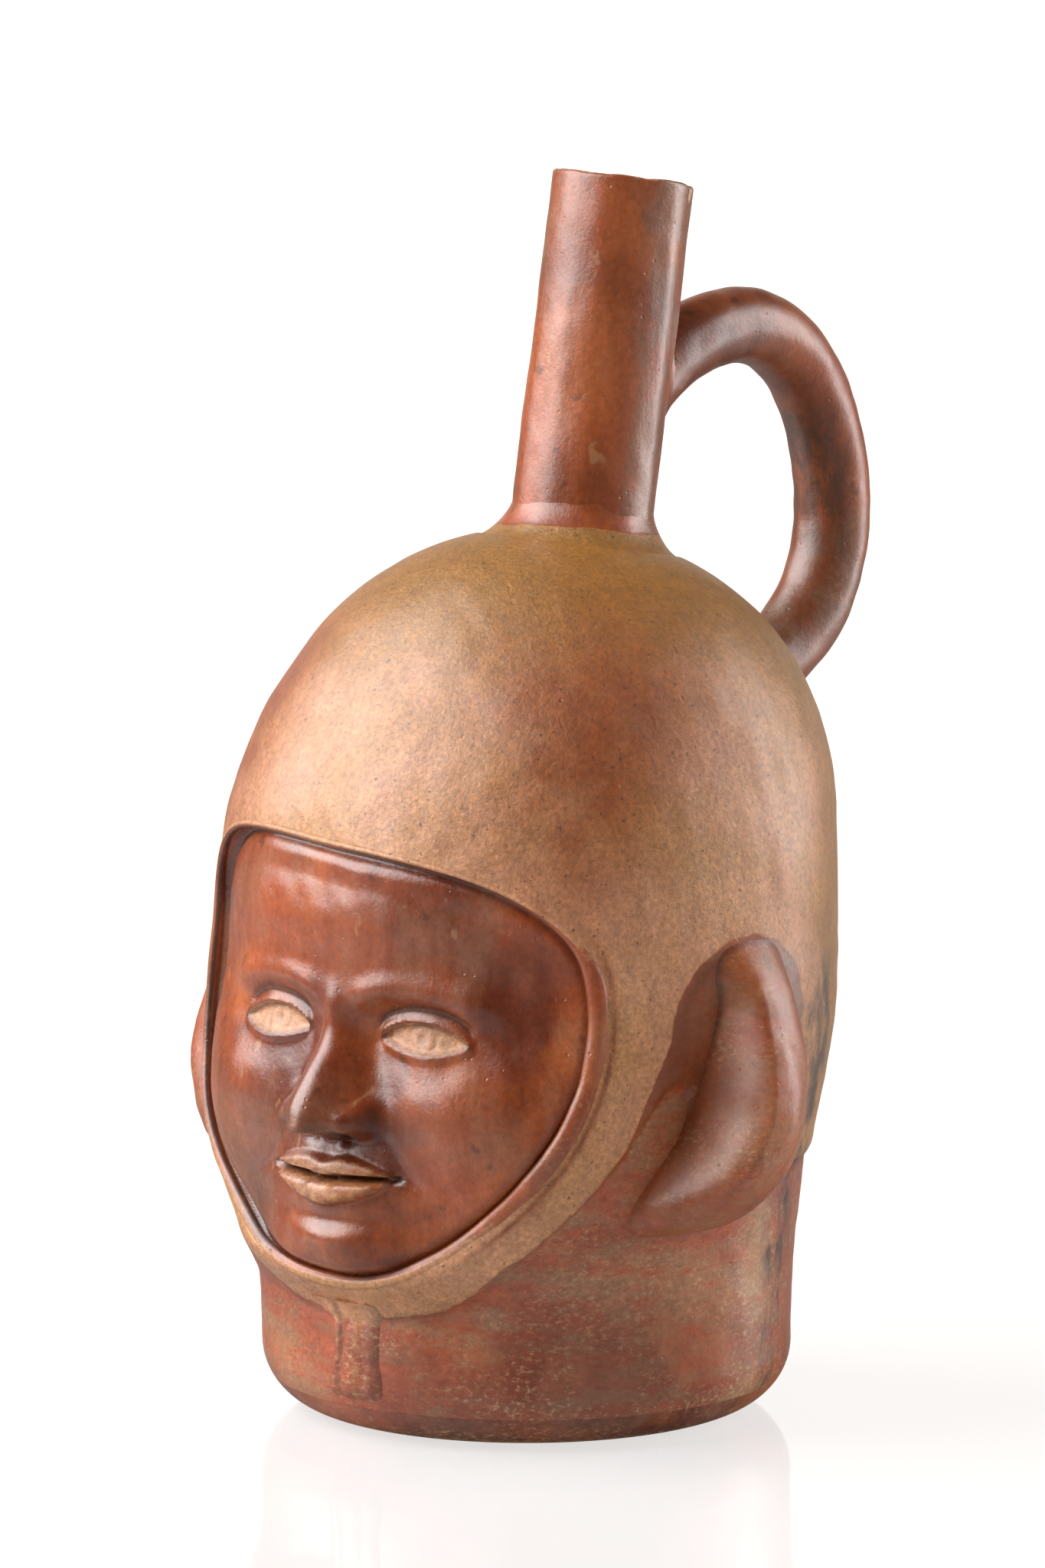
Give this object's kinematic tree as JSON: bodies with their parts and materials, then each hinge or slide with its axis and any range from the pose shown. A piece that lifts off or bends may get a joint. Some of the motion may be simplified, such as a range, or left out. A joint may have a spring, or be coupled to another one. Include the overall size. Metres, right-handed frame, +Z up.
{
  "type": "portrait head jug with spout and loop handle",
  "caption": "Hollow ceramic vessel shaped as a hooded head on a drum neck, with a tall leaning spout and a loop handle behind it.",
  "frame": {"origin": "centre of the flat foot, on the surface that the vessel stands on", "axes": "+Z up, the face looks along -Y, the figure's left ear is on +X, the handle is behind on +Y"},
  "size_m": [0.1764, 0.2074, 0.2899],
  "materials": {
    "red_slip": "satin",
    "cream_slip": "satin",
    "bare_clay": "matte"
  },
  "bodies": {
    "root": {"floor_disc": "red_slip", "front_shell": "cream_slip", "back_shell": "cream_slip", "floor_coil": "bare_clay", "seam_coil_left": "bare_clay", "seam_coil_right": "bare_clay", "spout": "red_slip", "spout_collar": "red_slip", "handle": "red_slip", "handle_upper_luting": "red_slip", "handle_lower_luting": "red_slip", "ear_left": "red_slip", "ear_right": "red_slip", "hood_edge": "cream_slip", "chin_tie": "cream_slip"}
  },
  "joints": []
}
